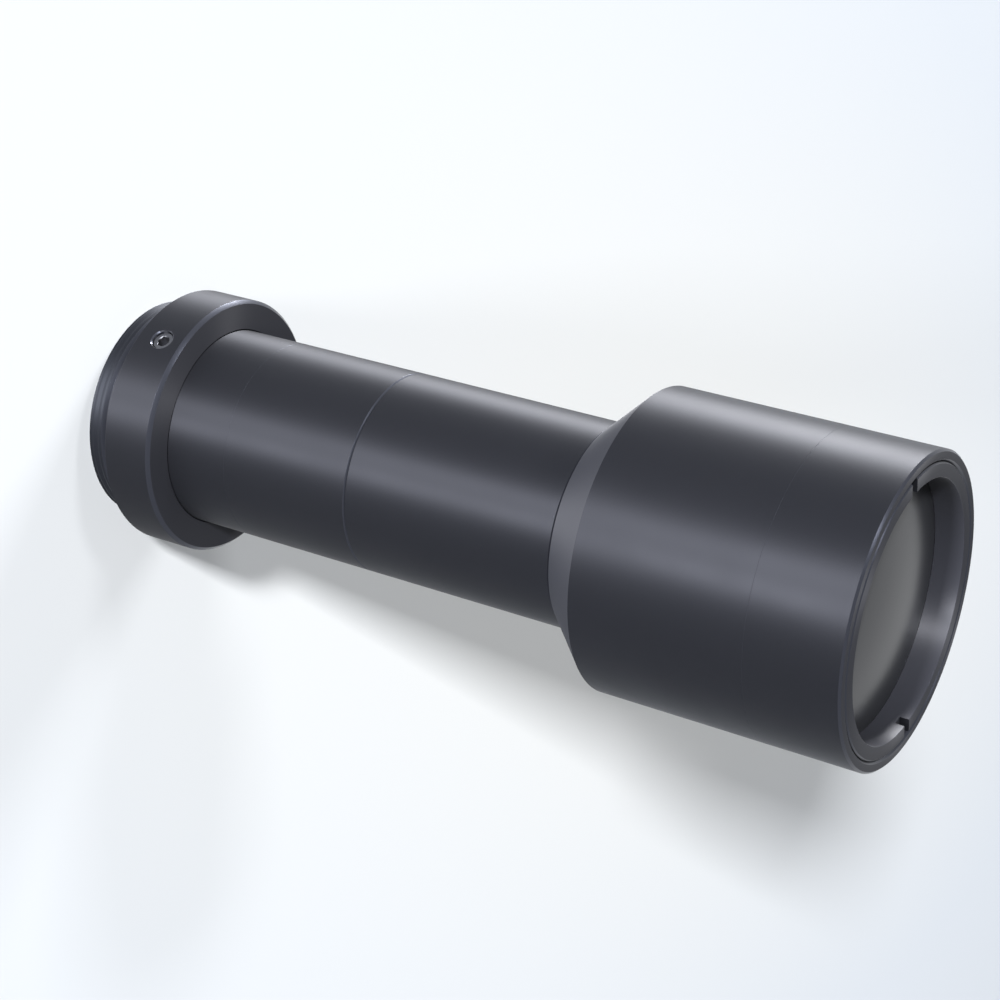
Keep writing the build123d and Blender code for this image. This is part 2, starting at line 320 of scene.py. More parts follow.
def anodised(name, colour, roughness, stretch, grain_height, mark_height, chamfer_finish_and_highlight=True):
    """Black anodised aluminium, with or without polished chamfers and their painted highlight.
    """
    made, tree, output = new_material(name)
    place = add(tree, "ShaderNodeTexCoord").outputs["Object"]
    split = add(tree, "ShaderNodeSeparateXYZ", {"Vector": place}).outputs
    flat = add(tree, "ShaderNodeCombineXYZ", {"X": split["X"], "Y": split["Y"]}).outputs[0]
    slanted, dull, chamfer = ways_of_facing(tree, flat)
    cloud = add(tree, "ShaderNodeTexNoise",
                {"Scale": per_mm(CLOUD_MM), "Detail": 3.0, "Vector": place})
    gloss = add(tree, "ShaderNodeMapRange",
                {"From Min": CLOUD_LOW, "From Max": CLOUD_HIGH,
                 "To Min": roughness-CLOUD_SPREAD, "To Max": roughness+CLOUD_SPREAD,
                 "Value": cloud.outputs["Fac"]})
    gloss = add(tree, "ShaderNodeMix",
                {"data_type": "FLOAT", SHARE: slanted, NUMBER_A: gloss.outputs["Result"],
                 NUMBER_B: SLANTED_ROUGHNESS})
    metal = add(tree, "ShaderNodeMix",
                {"data_type": "FLOAT", SHARE: dull, NUMBER_A: METAL_SHARE,
                 NUMBER_B: DULL_METAL_SHARE})
    tone = add(tree, "ShaderNodeMix",
               {"data_type": "RGBA", SHARE: dull, COLOUR_A: linear(colour),
                COLOUR_B: linear(DULL_COLOUR)})
    finish = {"Base Color": tone.outputs[COLOUR_OUT], "Metallic": metal.outputs[NUMBER_OUT],
              "Roughness": gloss.outputs[NUMBER_OUT], "Anisotropic": stretch}
    # Chamfers that face forward get a polished finish and a lighter colour, a painted highlight.
    if chamfer_finish_and_highlight:
        finish["Base Color"] = add(tree, "ShaderNodeMix", {
            "data_type": "RGBA", SHARE: chamfer, COLOUR_A: finish["Base Color"],
            COLOUR_B: linear(CHAMFER_HIGHLIGHT_COLOUR)}).outputs[COLOUR_OUT]
        for socket, polished in CHAMFER_FINISH.items():
            finish[socket] = add(tree, "ShaderNodeMix", {
                "data_type": "FLOAT", SHARE: chamfer, NUMBER_A: finish[socket],
                NUMBER_B: polished}).outputs[NUMBER_OUT]
    grooves = add(tree, "ShaderNodeTangent", {"direction_type": "RADIAL", "axis": "Z"})
    surface = add(tree, "ShaderNodeBsdfPrincipled", {
        "Specular IOR Level": OXIDE_GLOSS, "Anisotropic Rotation": QUARTER_TURN, **finish,
        "Normal": blasted_and_turned(tree, place, flat, split["Z"], grain_height, mark_height),
        "Tangent": grooves.outputs["Tangent"]})
    tree.links.new(surface.outputs["BSDF"], output.inputs["Surface"])
    return made


# %% [markdown]
# The ring in the rim is blasted less than the housings, so it is a little glossier. The
# camera thread is rougher, and has no chamfers of its own: its flanks face as chamfers do,
# so the chamfers' finish and painted highlight are left out there.

# %% Three grades of the anodised finish
housing_metal = anodised("black_anodised_blasted_aluminium", "#232429", roughness=0.54,
                         stretch=0.85, grain_height=0.003, mark_height=0.001)
ring_metal = anodised("black_anodised_turned_aluminium", "#232429", roughness=0.50,
                      stretch=0.85, grain_height=0.002, mark_height=0.001)
thread_metal = anodised("black_anodised_threaded_aluminium", "#24262c", roughness=0.60,
                        stretch=0.80, grain_height=0.002, mark_height=0.001, chamfer_finish_and_highlight=False)
for metal in (housing_metal, ring_metal, thread_metal):
    print(metal.name, len(metal.node_tree.nodes), "nodes")


# %% [markdown]
# Inside, everything that stray light could strike is anodised matt black: rings, baffles,
# the stop. A flat black would do in the dark, but the edges of some can be seen through the
# glass. So it has a fine grain too, and is rough enough to give back no reflection.

# %% Matt black inside
MATT_GRAIN_HEIGHT = 0.01
MATT_GRAIN_STRENGTH = 0.6


def matt_black(name, colour, roughness):
    """Black anodised aluminium that was blasted coarsely before the dye."""
    made, tree, output = new_material(name)
    place = add(tree, "ShaderNodeTexCoord").outputs["Object"]
    grain = add(tree, "ShaderNodeTexNoise",
                {"Scale": per_mm(GRAIN_MM), "Detail": 2.0, "Vector": place})
    bump = add(tree, "ShaderNodeBump",
               {"Strength": MATT_GRAIN_STRENGTH, "Distance": MATT_GRAIN_HEIGHT*MM,
                "Height": grain.outputs["Fac"]})
    surface = add(tree, "ShaderNodeBsdfPrincipled",
                  {"Base Color": linear(colour), "Roughness": roughness,
                   "Normal": bump.outputs["Normal"]})
    tree.links.new(surface.outputs["BSDF"], output.inputs["Surface"])
    return made


inner_black = matt_black("matt_black_anodised_aluminium", "#141416", roughness=0.7)
print(inner_black.name, len(inner_black.node_tree.nodes), "nodes")


# %% [markdown]
# The set screws are alloy steel, blackened in a hot oxide bath. The oxide is so thin that
# the steel shows through as a mid grey, with an oily gloss that varies from spot to spot.
# Black paint would look dead there, so it is pure metal with noise in its roughness.

# %% Black oxide steel
OXIDE_SPOT_MM = 0.3
OILY_ROUGHNESS, DRY_ROUGHNESS = 0.42, 0.56


def black_oxide(name, colour):
    """Steel under a thin black oxide, with an uneven gloss."""
    made, tree, output = new_material(name)
    place = add(tree, "ShaderNodeTexCoord").outputs["Object"]
    spots = add(tree, "ShaderNodeTexNoise",
                {"Scale": per_mm(OXIDE_SPOT_MM), "Detail": 3.0, "Vector": place})
    gloss = add(tree, "ShaderNodeMapRange",
                {"To Min": OILY_ROUGHNESS, "To Max": DRY_ROUGHNESS,
                 "Value": spots.outputs["Fac"]})
    surface = add(tree, "ShaderNodeBsdfPrincipled",
                  {"Base Color": linear(colour), "Metallic": 1.0,
                   "Roughness": gloss.outputs["Result"]})
    tree.links.new(surface.outputs["BSDF"], output.inputs["Surface"])
    return made


screw_steel = black_oxide("black_oxide_alloy_steel", "#55565b")
print(screw_steel.name, len(screw_steel.node_tree.nodes), "nodes")


# %% [markdown]
# The front glass is a polished achromat, a crown lens cemented to a flint lens. In the
# photograph its face is a smooth dark grey. Clear glass with a dark tube behind it could give
# that, but it would mirror the studio sharply. So the front carries a mostly opaque dark film
# with a soft gloss, a painted shade for the dark inside, and the glass behind it is clear.

# %% Optical glass
def optical_glass(name, colour, ior, clearness, roughness, reflection):
    """Coated glass. Clearness is the share of light that goes through."""
    made, tree, output = new_material(name)
    surface = add(tree, "ShaderNodeBsdfPrincipled",
                  {"Base Color": linear(colour), "Roughness": roughness, "IOR": ior,
                   "Transmission Weight": clearness, "Specular IOR Level": reflection})
    tree.links.new(surface.outputs["BSDF"], output.inputs["Surface"])
    return made


# The front film's dark grey is painted shade, standing for the dark inside the lens.
crown_glass = optical_glass("crown_glass_with_painted_shade_film", "#2a2b2e", ior=1.5, clearness=0.10,
                            roughness=0.28, reflection=0.3)
flint_glass = optical_glass("coated_flint_glass", "#f4f4ee", ior=1.62, clearness=1.0,
                            roughness=0.02, reflection=0.5)
print("glass", crown_glass.name, flint_glass.name)

# %% [markdown]
# Every piece needs the same three things: its finish, the body that it moves with, and the
# node of the frame that it stands in for. They could be written out piece by piece. One
# function does it for all, so that none is forgotten.

# %% Give a piece its finish and its place on the model
MOUNT, LENS = "camera_mount", "lens_body"


def dress(made, finish, body, nodes):
    """Finishes a piece and puts it on its body in place of these nodes."""
    made.data.materials.clear()
    made.data.materials.append(finish)
    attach(made, body)
    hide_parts(*nodes)
    print(made.name, len(made.data.polygons), "faces")
    return made


# %% [markdown]
# The camera thread is 1 inch across with 32 turns to the inch, cut with a die. The frame has
# a plain stub there. A bump could draw the thread, but its outline would stay straight. So
# the wall is a grid of points, whose radius follows a rounded V as it climbs one pitch each
# turn, and fades out at both ends the way a die runs out. It is cut shallow, as the
# photograph hardly shows it.

# %% Camera thread
THREAD_R = 12.7
THREAD_PITCH = 25.4/32
THREAD_DEPTH = 0.12
THREAD_ROWS = 22
THREAD_CHAMFER = 0.2
RUN_OUT = 0.25
FLANK_SLOPE = 1.3
CREST_WIDTH = 0.15
RELIEF_DEPTH = 0.35
RELIEF_LENGTH = 2.0
thread_low = thread_end+THREAD_CHAMFER
thread_high = -RELIEF_LENGTH-RELIEF_DEPTH


def thread_wave(turn):
    """Depth of the thread, 0 at its crest and 1 at its root, at this part of a turn."""
    saw = abs(2*(turn % 1)-1)
    return min(1.0, max(0.0, FLANK_SLOPE*saw-CREST_WIDTH))


def threaded_stub():
    """Outside of the stub between its two chamfers, thread included."""
    rows = int((thread_high-thread_low)/THREAD_PITCH*THREAD_ROWS)
    vertices = []
    for i in range(TURNS):
        angle = 2*math.pi*i/TURNS
        for j in range(rows+1):
            z = thread_low+(thread_high-thread_low)*j/rows
            edge = min(z-thread_low, thread_high-z)
            fade = min(1.0, edge/(RUN_OUT*THREAD_PITCH))
            r = THREAD_R-THREAD_DEPTH*fade*thread_wave(z/THREAD_PITCH-i/TURNS)
            vertices.append((r*math.cos(angle)*MM, r*math.sin(angle)*MM, z*MM))
    faces = []
    for i in range(TURNS):
        here, there = i*(rows+1), (i+1) % TURNS*(rows+1)
        faces += [(here+j, there+j, there+j+1, here+j+1) for j in range(rows)]
    return mesh_object("camera_thread", vertices, faces)


print(f"thread from {thread_low:.2f} to {thread_high:.2f} mm, pitch {THREAD_PITCH:.3f} mm")


# %% [markdown]
# The clamp collar has three tapped holes, each with a countersink. A spun outline can't have
# them, and painted ones would cast no shadow. So each is drilled: a small turned cutter in
# the shape of hole and countersink together is laid along a radius and taken away with a
# boolean. The result is kept as plain mesh, and the cutter is thrown away.

# %% Cut with a turned tool
TOOL_TURNS = 96
OVERRUN = 1.0


def cut(made, tool):
    """Takes the tool away from the piece, for good."""
    difference = made.modifiers.new("cut", "BOOLEAN")
    difference.operation = "DIFFERENCE"
    difference.solver = "EXACT"
    difference.object = tool
    bpy.context.view_layer.update()
    shape = made.evaluated_get(bpy.context.evaluated_depsgraph_get())
    mesh = bpy.data.meshes.new_from_object(shape)
    made.modifiers.clear()
    made.data = mesh
    bpy.data.objects.remove(tool)


def along_radius(made, angle, height):
    """Turns a mesh from +Z to lie outwards along a radius, and lifts it."""
    place = (Matrix.Translation((0, 0, height*MM)) @ Matrix.Rotation(angle, 4, "Z")
             @ Matrix.Rotation(math.pi/2, 4, "Y"))
    made.data.transform(place)
    made.data.update()


# %% [markdown]
# Stub, flange seat and clamp collar are one turned piece. Three rings set together would be
# simpler, but would show seams that the photograph doesn't have. So the outline runs up the
# outside, from the thread's end over the relief and the flange to the collar, and back down
# the bore. Behind the thread it lies a little deeper, so that only the threaded skin shows
# there. The narrow bore has the sawtooth of a light baffle.

# %% Outline of the camera ring
SKIN_ROOM = 0.02
SEAT_R = THREAD_R+0.2
SEAT_UNDERCUT = 0.15
COLLAR_REAR_CHAMFER = 0.1
COLLAR_FRONT_CHAMFER = 0.4
MOUTH_CHAMFER = 0.1
BORE_CHAMFER = 0.2
BAFFLE_PITCH = 0.5
BAFFLE_DEPTH = 0.18
BAFFLE_REAR_LAND = 0.4
BAFFLE_FRONT_LAND = 0.3
relief_r = THREAD_R-RELIEF_DEPTH
lip_r = THREAD_R-SKIN_ROOM
core_r = lip_r-THREAD_DEPTH
collar_bore_r = tube_r+0.05
shoulder = cell_rear-0.1


def baffle_grooves(low, high, r):
    """Points of a sawtooth bore, from high down to low, that traps stray light."""
    count = int((high-low)/BAFFLE_PITCH)
    step = (high-low)/count
    points = []
    for i in range(count):
        top = high-i*step
        points += [(r, top), (r+BAFFLE_DEPTH, top-step/2)]
    return points+[(r, low)]


outside = [
    (THREAD_R-THREAD_CHAMFER, thread_end), (THREAD_R, thread_low), (lip_r, thread_low),
    (core_r, thread_low), (core_r, thread_high), (lip_r, thread_high), (THREAD_R, thread_high),
    (relief_r, -RELIEF_LENGTH), (relief_r, SEAT_UNDERCUT), (SEAT_R, SEAT_UNDERCUT),
    (SEAT_R, 0.0), (collar_r-COLLAR_REAR_CHAMFER, 0.0), (collar_r, COLLAR_REAR_CHAMFER),
    (collar_r, collar_front-COLLAR_FRONT_CHAMFER),
    (collar_r-COLLAR_FRONT_CHAMFER, collar_front),
]
bore = [
    (collar_bore_r+MOUTH_CHAMFER, collar_front),
    (collar_bore_r, collar_front-MOUTH_CHAMFER),
    (collar_bore_r, shoulder), (LIGHT_R+BORE_CHAMFER, shoulder),
    *baffle_grooves(thread_end+BAFFLE_REAR_LAND, shoulder-BAFFLE_FRONT_LAND, LIGHT_R),
    (LIGHT_R+BORE_CHAMFER, thread_end),
]
print("camera ring", len(outside), "points outside,", len(bore), "in the bore")

# %% [markdown]
# The ring is spun and then drilled three times, 120 degrees apart, where the set screws
# clamp. It gets more steps round the turn than any other piece, because the edge of a small
# hole would show the width of each step.

# %% Camera ring with its collar
RING_TURNS = 432
HOLE_R = 1.25
HOLE_START = 10.0
SINK_DEPTH = 0.15
SCREW_COUNT = 3
SCREW_HEIGHT = 3.2
screw_angles = [2*math.pi*i/SCREW_COUNT for i in range(SCREW_COUNT)]

camera_ring = turned("camera_ring", eased(outside+bore), turns=RING_TURNS)
for screw_angle in screw_angles:
    tool = turned("hole_tool", [
        (0.0, HOLE_START), (HOLE_R, HOLE_START), (HOLE_R, collar_r-SINK_DEPTH),
        (HOLE_R+SINK_DEPTH+OVERRUN, collar_r+OVERRUN), (0.0, collar_r+OVERRUN),
    ], turns=TOOL_TURNS)
    along_radius(tool, screw_angle, SCREW_HEIGHT)
    cut(camera_ring, tool)
camera_thread = threaded_stub()
for piece, finish in ((camera_ring, housing_metal), (camera_thread, thread_metal)):
    smooth(piece)
    dress(piece, finish, MOUNT, ["c_mount_ring"])

# %% [markdown]
# A set screw has no head: it is a short threaded rod with a cone point and a hexagon socket.
# Only its end shows, down in its hole. A true helix along it would never be seen, so its
# thread is a stack of plain rings in the outline.

# %% Outline of a set screw
SCREW_R = 1.21
SCREW_LENGTH = 3.7
SCREW_SINK = 0.35
SCREW_EDGE = 0.08
SCREW_PLAIN_END = 0.3
SCREW_PITCH = 0.45
SCREW_THREAD_DEPTH = 0.12
POINT_R = 0.65
screw_top = collar_r-SCREW_SINK
screw_low = screw_top-SCREW_LENGTH


def screw_outline():
    """Cone point, rings that stand for the thread, and a chamfered end."""
    low = screw_low+SCREW_R-POINT_R
    points = [(0.0, screw_low), (POINT_R, screw_low), (SCREW_R, low)]
    count = int((screw_top-SCREW_PLAIN_END-low)/SCREW_PITCH)
    for i in range(1, count+1):
        points += [(SCREW_R-SCREW_THREAD_DEPTH, low+(i-0.5)*SCREW_PITCH),
                   (SCREW_R, low+i*SCREW_PITCH)]
    return points+[(SCREW_R, screw_top-SCREW_EDGE), (SCREW_R-SCREW_EDGE, screw_top),
                   (0.0, screw_top)]


print(f"set screws end {SCREW_SINK} mm below the collar's surface")


# %% [markdown]
# A hexagon broach makes the real socket, and a countersink breaks its edge. The hexagon
# could be modelled face by face. A six-sided tool and a cone, taken away one after the
# other, leave the same clean edges with two short outlines.

# %% Set screws
SCREW_TURNS = 72
SOCKET_SIDES = 6
SOCKET_FLATS = 1.3
SOCKET_DEPTH = 1.3
SOCKET_MOUTH = 0.12
MOUTH_TURNS = 48
MOUTH_OVERRUN = 0.1
socket_r = SOCKET_FLATS/2/math.cos(math.pi/SOCKET_SIDES)


def set_screw(index, angle):
    """A set screw with its socket, laid along this radius."""
    screw = turned(f"set_screw_turned_{index}", screw_outline(), turns=SCREW_TURNS)
    socket = turned("socket_tool", [
        (0.0, screw_top-SOCKET_DEPTH), (socket_r, screw_top-SOCKET_DEPTH),
        (socket_r, screw_top+OVERRUN), (0.0, screw_top+OVERRUN)], turns=SOCKET_SIDES)
    cut(screw, socket)
    mouth = turned("mouth_tool", [
        (0.0, screw_top-SOCKET_MOUTH), (socket_r-SOCKET_MOUTH, screw_top-SOCKET_MOUTH),
        (socket_r+MOUTH_OVERRUN, screw_top+MOUTH_OVERRUN), (0.0, screw_top+MOUTH_OVERRUN),
    ], turns=MOUTH_TURNS)
    cut(screw, mouth)
    along_radius(screw, angle, SCREW_HEIGHT)
    smooth(screw)
    return dress(screw, screw_steel, MOUNT, [f"set_screw_{index}"])


for number, screw_angle in enumerate(screw_angles, start=1):
    set_screw(number, screw_angle)

# %% [markdown]
# The lens body is a stack of tubes screwed end to end. Each joint shows as a fine line, or
# as a bright and a dark line where one of its two edges is chamfered. Lines drawn on one
# long tube would look alike from one side only, so the tubes are made one by one, with the
# spigots that join them. The rear cell has the V-groove that the set screws point into.

# %% Slim tubes
THREAD_CLEARANCE = 0.04
JOINT_WALL = 1.1
SPIGOT_WALL = 0.7
CELL_WALL = 0.7
CELL_LEDGE = 1.0
CELL_CHAMFER = 0.25
TUBE_CHAMFER = 0.3
JOINT_LENGTH = 3.4
GROOVE_DEPTH = 0.8
GROOVE_FLOOR = 1.6
joint_r = tube_r-JOINT_WALL
tube_bore_r = joint_r-SPIGOT_WALL
cell_bore_r = tube_bore_r-CELL_WALL
cell_seat = span("tail_lens")[0]
half_floor = GROOVE_FLOOR/2
half_mouth = half_floor+GROOVE_DEPTH

rear_cell = turned("rear_cell_turned", eased([
    (cell_bore_r-CELL_LEDGE, cell_rear), (tube_r-CELL_CHAMFER, cell_rear),
    (tube_r, cell_rear+CELL_CHAMFER), (tube_r, SCREW_HEIGHT-half_mouth),
    (tube_r-GROOVE_DEPTH, SCREW_HEIGHT-half_floor),
    (tube_r-GROOVE_DEPTH, SCREW_HEIGHT+half_floor), (tube_r, SCREW_HEIGHT+half_mouth),
    (tube_r, rear_joint), (joint_r, rear_joint), (joint_r, cell_top), (cell_bore_r, cell_top),
    (cell_bore_r, cell_seat), (cell_bore_r-CELL_LEDGE, cell_seat),
]))
rear_tube = turned("rear_tube_turned", eased([
    (joint_r+THREAD_CLEARANCE, rear_joint), (tube_r, rear_joint),
    (tube_r, middle_joint-TUBE_CHAMFER), (tube_r-TUBE_CHAMFER, middle_joint),
    (joint_r+THREAD_CLEARANCE, middle_joint),
]))
front_tube = turned("front_tube_turned", eased([
    (tube_bore_r, middle_joint-JOINT_LENGTH), (joint_r, middle_joint-JOINT_LENGTH),
    (joint_r, middle_joint), (tube_r, middle_joint), (tube_r, front_joint-TUBE_CHAMFER),
    (tube_r-TUBE_CHAMFER, front_joint), (joint_r, front_joint), (joint_r, front_spigot_top),
    (tube_bore_r, front_spigot_top),
]))
for piece, node in ((rear_cell, "rear_cell"), (rear_tube, "rear_tube"),
                    (front_tube, "front_tube")):
    smooth(piece)
    dress(piece, housing_metal, LENS, [node])

# %% [markdown]
# The wide barrel opens from the slim tubes with a cone, outside and inside. A cone and a
# tube could be joined, but the wall has to stay even where one runs into the other. As one
# outline it does, with the sockets for the tube behind and the cap in front.

# %% Wide barrel
CONE_LENGTH = 5.15
CONE_STEP = 0.25
CAP_JOINT_WALL = 1.2
FIELD_WALL = 1.1
LEDGE_REACH = 1.3
SPIGOT_ROOM = 0.1
FLARE_LAND = 0.6
cone_top = front_joint+CONE_LENGTH
cap_spigot_r = barrel_r-CAP_JOINT_WALL
cap_socket_r = cap_spigot_r+THREAD_CLEARANCE
cap_socket_floor = cap_spigot_low-SPIGOT_ROOM
tube_socket_r = joint_r+THREAD_CLEARANCE
tube_socket_top = front_spigot_top+SPIGOT_ROOM
field_r = cap_spigot_r-FIELD_WALL
field_seat = span("field_lens")[0]
flare_low = tube_socket_top+FLARE_LAND
flare_high = flare_low+field_r-LEDGE_REACH-tube_bore_r

barrel = turned("main_barrel_turned", eased([
    (tube_socket_r, front_joint), (tube_r+CONE_STEP, front_joint), (barrel_r, cone_top),
    (barrel_r, cap_joint), (cap_socket_r, cap_joint), (cap_socket_r, cap_socket_floor),
    (field_r, cap_socket_floor), (field_r, field_seat), (field_r-LEDGE_REACH, field_seat),
    (field_r-LEDGE_REACH, flare_high), (tube_bore_r, flare_low),
    (tube_bore_r, tube_socket_top), (tube_socket_r, tube_socket_top),
]), turns=WIDE_TURNS)
print(f"barrel from {front_joint:.2f} to {cap_joint:.2f} mm, cone to {cone_top:.2f} mm")

# %% [markdown]
# The front cap screws into the barrel, and holds the front glass on a ledge with the
# retaining ring above. It could be part of the barrel, but the photograph shows its joint
# as a hairline. So it is a piece of its own, with its rim's edges a little rounder.

# %% Front cap
RIM_CHAMFER = 0.25
RIM_BREAK = 0.04
RING_MOUTH_CHAMFER = 0.25
RING_ROOM = 0.3
GLASS_LEDGE = 1.0
GLASS_CLEARANCE = 0.03
GLASS_SEAT_RISE = 0.1
glass_r = span("objective_crown")[2]+GLASS_CLEARANCE
glass_seat = span("objective_flint")[0]+GLASS_SEAT_RISE
ring_socket_r = ring_r+THREAD_CLEARANCE
ring_socket_floor = ring_low-RING_ROOM

cap = turned("front_cap_turned", eased([
    (glass_r-GLASS_LEDGE, cap_spigot_low), (cap_spigot_r, cap_spigot_low),
    (cap_spigot_r, cap_joint), (barrel_r, cap_joint), (barrel_r, rim-RIM_CHAMFER),
    (barrel_r-RIM_CHAMFER, rim), (ring_socket_r+RING_MOUTH_CHAMFER, rim),
    (ring_socket_r, rim-RING_MOUTH_CHAMFER), (ring_socket_r, ring_socket_floor),
    (glass_r, ring_socket_floor), (glass_r, glass_seat), (glass_r-GLASS_LEDGE, glass_seat),
], RIM_BREAK), turns=WIDE_TURNS)
for piece, node in ((barrel, "main_barrel"), (cap, "front_cap")):
    smooth(piece)
    dress(piece, housing_metal, LENS, [node])

# %% [markdown]
# The retaining ring screws into the rim. A spanner with two blades turns it, so two slots
# are milled right across it. The ring could be spun in two parts with gaps between them,
# but a slot's walls are flat and parallel. A bar taken away by a boolean leaves them so, as
# the milling cutter does.

# %% Front retaining ring
RING_WIDTH = 1.54
RING_CHAMFER = 0.15
RING_BREAK = 0.05
SLOT_WIDTH = 1.2
SLOT_DEPTH = 1.05
SLOT_ANGLE = math.radians(-23)
ring_bore_r = ring_r-RING_WIDTH


def slot_tool():
    """A bar across the ring's top, as wide as a slot and sunk to its depth."""
    work = bmesh.new()
    bmesh.ops.create_cube(work, size=1.0)
    size = Matrix.Diagonal((3*ring_r*MM, SLOT_WIDTH*MM, 2*SLOT_DEPTH*MM, 1))
    place = Matrix.Translation((0, 0, rim*MM)) @ Matrix.Rotation(SLOT_ANGLE, 4, "Z")
    work.transform(place @ size)
    made = mesh_object("slot_tool", [], [])
    work.to_mesh(made.data)
    work.free()
    return made


ring = turned("retaining_ring_turned", eased([
    (ring_bore_r, ring_low), (ring_r-RING_CHAMFER, ring_low), (ring_r, ring_low+RING_CHAMFER),
    (ring_r, rim-RING_CHAMFER), (ring_r-RING_CHAMFER, rim), (ring_bore_r, rim),
], RING_BREAK), turns=WIDE_TURNS)
cut(ring, slot_tool())
smooth(ring)
dress(ring, ring_metal, LENS, ["front_retaining_ring"])


# %% [markdown]
# A lens is ground to two spheres and edged to a cylinder. Spheres could be cut out of each
# other, but their faces crowd together at the pole. So a lens is its own outline spun: two
# arcs and a rim, with the axis closing it. Its arcs need many points, because a reflection
# shows every flat.

# %% Spherical faces
LENS_STEPS = 48
LENS_TURNS = 192


def arc(edge_z, curvature_r, rim_r, side):
    """Points of a spherical face from the axis to the rim. Side is 1 upwards, -1 downwards."""
    points = []
    for i in range(LENS_STEPS+1):
        r = rim_r*i/LENS_STEPS
        rise = math.sqrt(curvature_r**2-r**2)-math.sqrt(curvature_r**2-rim_r**2)
        points.append((r, edge_z+side*rise))
    return points


def lens(name, node, low_face, high_face, glass):
    """A lens between two faces, each given from the axis outwards."""
    made = turned(name, low_face+list(reversed(high_face)), turns=LENS_TURNS)
    smooth(made)
    return dress(made, glass, LENS, [node])


# %% [markdown]
# Only the first and the last lens can be seen from outside. The frame's own solids could
# stay there, but their faces are few, and a gloss would show that. So these two are turned
# again, with the same curves, at the heights that the frame gives.

# %% Front glass and rear glass
CROWN_FRONT, CROWN_INNER, CROWN_EDGE = 51.0, 40.0, 1.6
_, crown_high, crown_r = span("objective_crown")
crown_front_sag = CROWN_FRONT-math.sqrt(CROWN_FRONT**2-crown_r**2)
crown_top_edge = crown_high-crown_front_sag
lens("objective_crown_polished", "objective_crown",
     arc(crown_top_edge-CROWN_EDGE, CROWN_INNER, crown_r, -1),
     arc(crown_top_edge, CROWN_FRONT, crown_r, 1), crown_glass)

TAIL_FRONT, TAIL_EDGE = 26.5, 1.3
tail_low, _, tail_r = span("tail_lens")
lens("tail_lens_polished", "tail_lens", [(0.0, tail_low), (tail_r, tail_low)],
     arc(tail_low+TAIL_EDGE, TAIL_FRONT, tail_r, 1), flint_glass)

# %% [markdown]
# The lenses, rings and baffles further in stay as the frame has them. New meshes for them
# would show nothing more, since the housings hide them. So they only get a finish.

# %% Finish of the inner pieces
INNER_GLASS = ("eye_lens", "relay_flint", "relay_crown", "field_lens", "objective_flint")
INNER_METAL = ("rear_spacer", "rear_retaining_ring", "relay_retaining_ring", "aperture_stop",
               "stop_retaining_ring", "tube_baffle_1", "tube_baffle_2", "field_retaining_ring")
for names, finish in ((INNER_GLASS, flint_glass), (INNER_METAL, inner_black)):
    for name in names:
        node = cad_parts[name]
        node.data.materials.clear()
        node.data.materials.append(finish)
print("inner pieces", len(INNER_GLASS)+len(INNER_METAL))

# %% [markdown]
# The camera stands where the photograph's did. It could be moved by eye until the outlines
# agree, which leaves errors of perspective. So its place was found by fitting the edges of
# the turned steps, and its roll lays the optical axis across the picture.

# %% Camera
CAMERA_PLACE = Vector((190.0, 109.1, 161.0))*MM
CAMERA_AZIMUTH = 29.87
CAMERA_ELEVATION = 28.34
AXIS_TILT = math.radians(-15.31)
FOCAL_LENGTH = 82.99
SENSOR = 36.0


def bearing(azimuth, elevation):
    """Unit vector of a bearing about Z and a height above the horizon, in degrees."""
    a, e = math.radians(azimuth), math.radians(elevation)
    return Vector((math.cos(e)*math.cos(a), math.cos(e)*math.sin(a), math.sin(e)))


back = bearing(CAMERA_AZIMUTH, CAMERA_ELEVATION)
axis_in_picture = (Vector((0, 0, 1))-back*back.z).normalized()
beside = back.cross(axis_in_picture)
right = axis_in_picture*math.cos(AXIS_TILT)-beside*math.sin(AXIS_TILT)
up = axis_in_picture*math.sin(AXIS_TILT)+beside*math.cos(AXIS_TILT)
camera_data = bpy.data.cameras.new("portrait_camera")
camera_data.lens = FOCAL_LENGTH
camera_data.sensor_width = SENSOR
camera = bpy.data.objects.new("portrait_camera", camera_data)
bpy.context.collection.objects.link(camera)
turn = Matrix((right, up, back)).transposed()
camera.matrix_world = Matrix.Translation(CAMERA_PLACE) @ turn.to_4x4()
bpy.context.scene.camera = camera
bpy.context.scene.view_settings.view_transform = "Standard"
print("camera at", [round(part, 4) for part in CAMERA_PLACE])


# %% [markdown]
# The lens stands on its thread on a pale sweep of diffuse paint, wide enough to fill the
# picture. The photograph is whitest behind the lens and pale blue in its corners. A lamp
# on the floor could do that, but it would light the object too. So it is a painted pool of
# light: a long oval of whiter paint lies across the floor, and round it the sweep turns a
# pale blue.

# %% Floor
FLOOR_SIZE = 6.0
# The white oval is a painted pool of light; the pale blue round it is the sweep's paint.
LIGHT_POOL_WHITE, FLOOR_BLUE = "#e3e5e6", "#dae0e8"
OVAL_BEARING = 209.87
OVAL_DISTANCE = 150.0
OVAL_STRETCH = 2.6
OVAL_INNER, OVAL_OUTER = 30.0, 120.0


